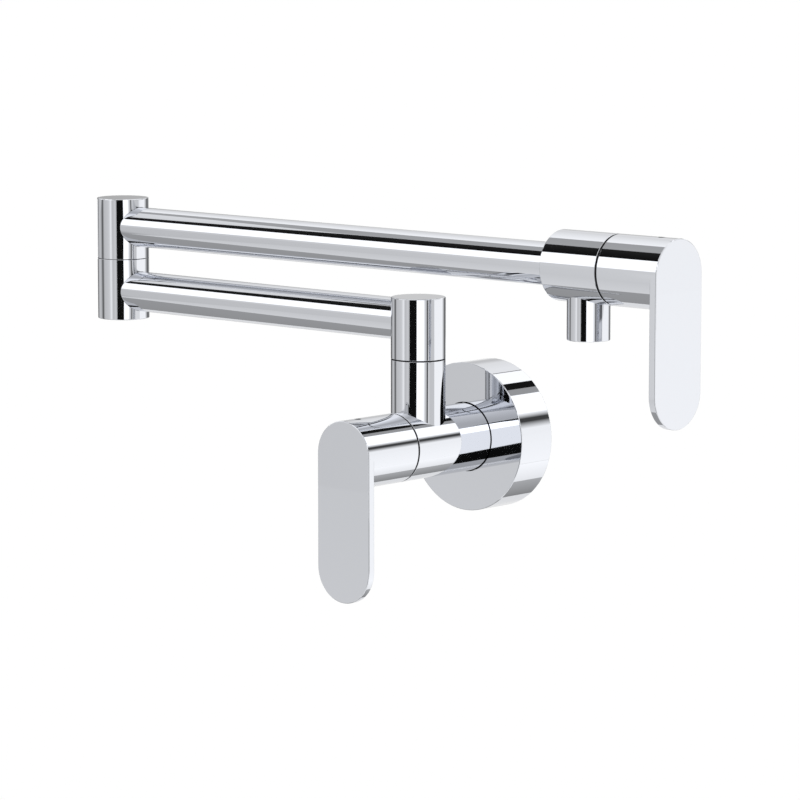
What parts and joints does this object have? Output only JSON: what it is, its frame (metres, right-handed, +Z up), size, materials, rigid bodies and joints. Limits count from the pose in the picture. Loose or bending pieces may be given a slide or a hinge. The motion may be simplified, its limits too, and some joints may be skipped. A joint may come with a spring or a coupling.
{
  "type": "pot filler",
  "caption": "Wall-mounted pot filler: round flange, valve with lever, riser, folding double-jointed arm, and a spout with its own valve and lever, all polished chrome.",
  "frame": {"origin": "centre of the inlet's mouth, in the plane of the wall, which is also the centre of the wall flange's back", "axes": "+Y into the wall along the inlet, +X to the right along the wall, +Z up"},
  "size_m": [0.3626, 0.1051, 0.1734],
  "materials": {
    "chrome": "bright chrome plate on brass, mirror polished",
    "brass": "turned, unplated",
    "rubber": "moulded nitrile, matt",
    "ceramic": "lapped alumina, satin",
    "nylon": "moulded acetal, satin",
    "steel": "stainless, machined"
  },
  "bodies": {
    "wall_unit": {"wall_flange": "chrome", "wall_gasket": "rubber", "flange_oring": "rubber", "wall_valve_body": "chrome", "inlet_screen": "steel", "wall_cartridge_housing": "brass", "wall_cartridge_oring": "rubber", "wall_cartridge_seal": "rubber", "wall_fixed_disc": "ceramic", "wall_bonnet_nut": "brass", "wall_lever_washer": "rubber", "riser_post": "brass", "riser_orings": "rubber", "riser_washer": "rubber"},
    "wall_handle": {"wall_moving_disc": "ceramic", "wall_stem": "brass", "wall_stem_oring": "rubber", "wall_lever": "chrome", "wall_lever_screw": "steel"},
    "inner_arm": {"inner_arm_sleeve": "chrome", "sleeve_grub_screw": "steel", "inner_arm_tube": "chrome", "inner_arm_elbow": "chrome", "elbow_post": "brass", "elbow_orings": "rubber", "elbow_washer": "rubber"},
    "outer_arm": {"outer_arm_elbow": "chrome", "elbow_grub_screw": "steel", "outer_arm_tube": "chrome", "spout_valve_body": "chrome", "spout_outlet": "chrome", "aerator_washer": "rubber", "aerator_insert": "nylon", "aerator_shell": "chrome", "spout_cartridge_housing": "brass", "spout_cartridge_oring": "rubber", "spout_cartridge_seal": "rubber", "spout_fixed_disc": "ceramic", "spout_bonnet_nut": "brass", "spout_lever_washer": "rubber"},
    "spout_handle": {"spout_moving_disc": "ceramic", "spout_stem": "brass", "spout_stem_oring": "rubber", "spout_lever": "chrome", "spout_lever_screw": "steel"}
  },
  "joints": [
    {"name": "wall_lever_turn", "type": "hinge", "parent": "wall_unit", "child": "wall_handle", "pos_m": [0, -0.0544, 0], "axis": [0, -1, 0], "range_deg": [0, 90]},
    {"name": "inner_arm_swing", "type": "hinge", "parent": "wall_unit", "child": "inner_arm", "pos_m": [0, -0.0544, 0.0397], "axis": [0, 0, 1], "range_deg": [0, 180]},
    {"name": "outer_arm_swing", "type": "hinge", "parent": "inner_arm", "child": "outer_arm", "pos_m": [-0.197, -0.0544, 0.0735], "axis": [0, 0, 1], "continuous": true},
    {"name": "spout_lever_turn", "type": "hinge", "parent": "outer_arm", "child": "spout_handle", "pos_m": [0.102, -0.0544, 0.0894], "axis": [-1, 0, 0], "range_deg": [0, 90]}
  ]
}
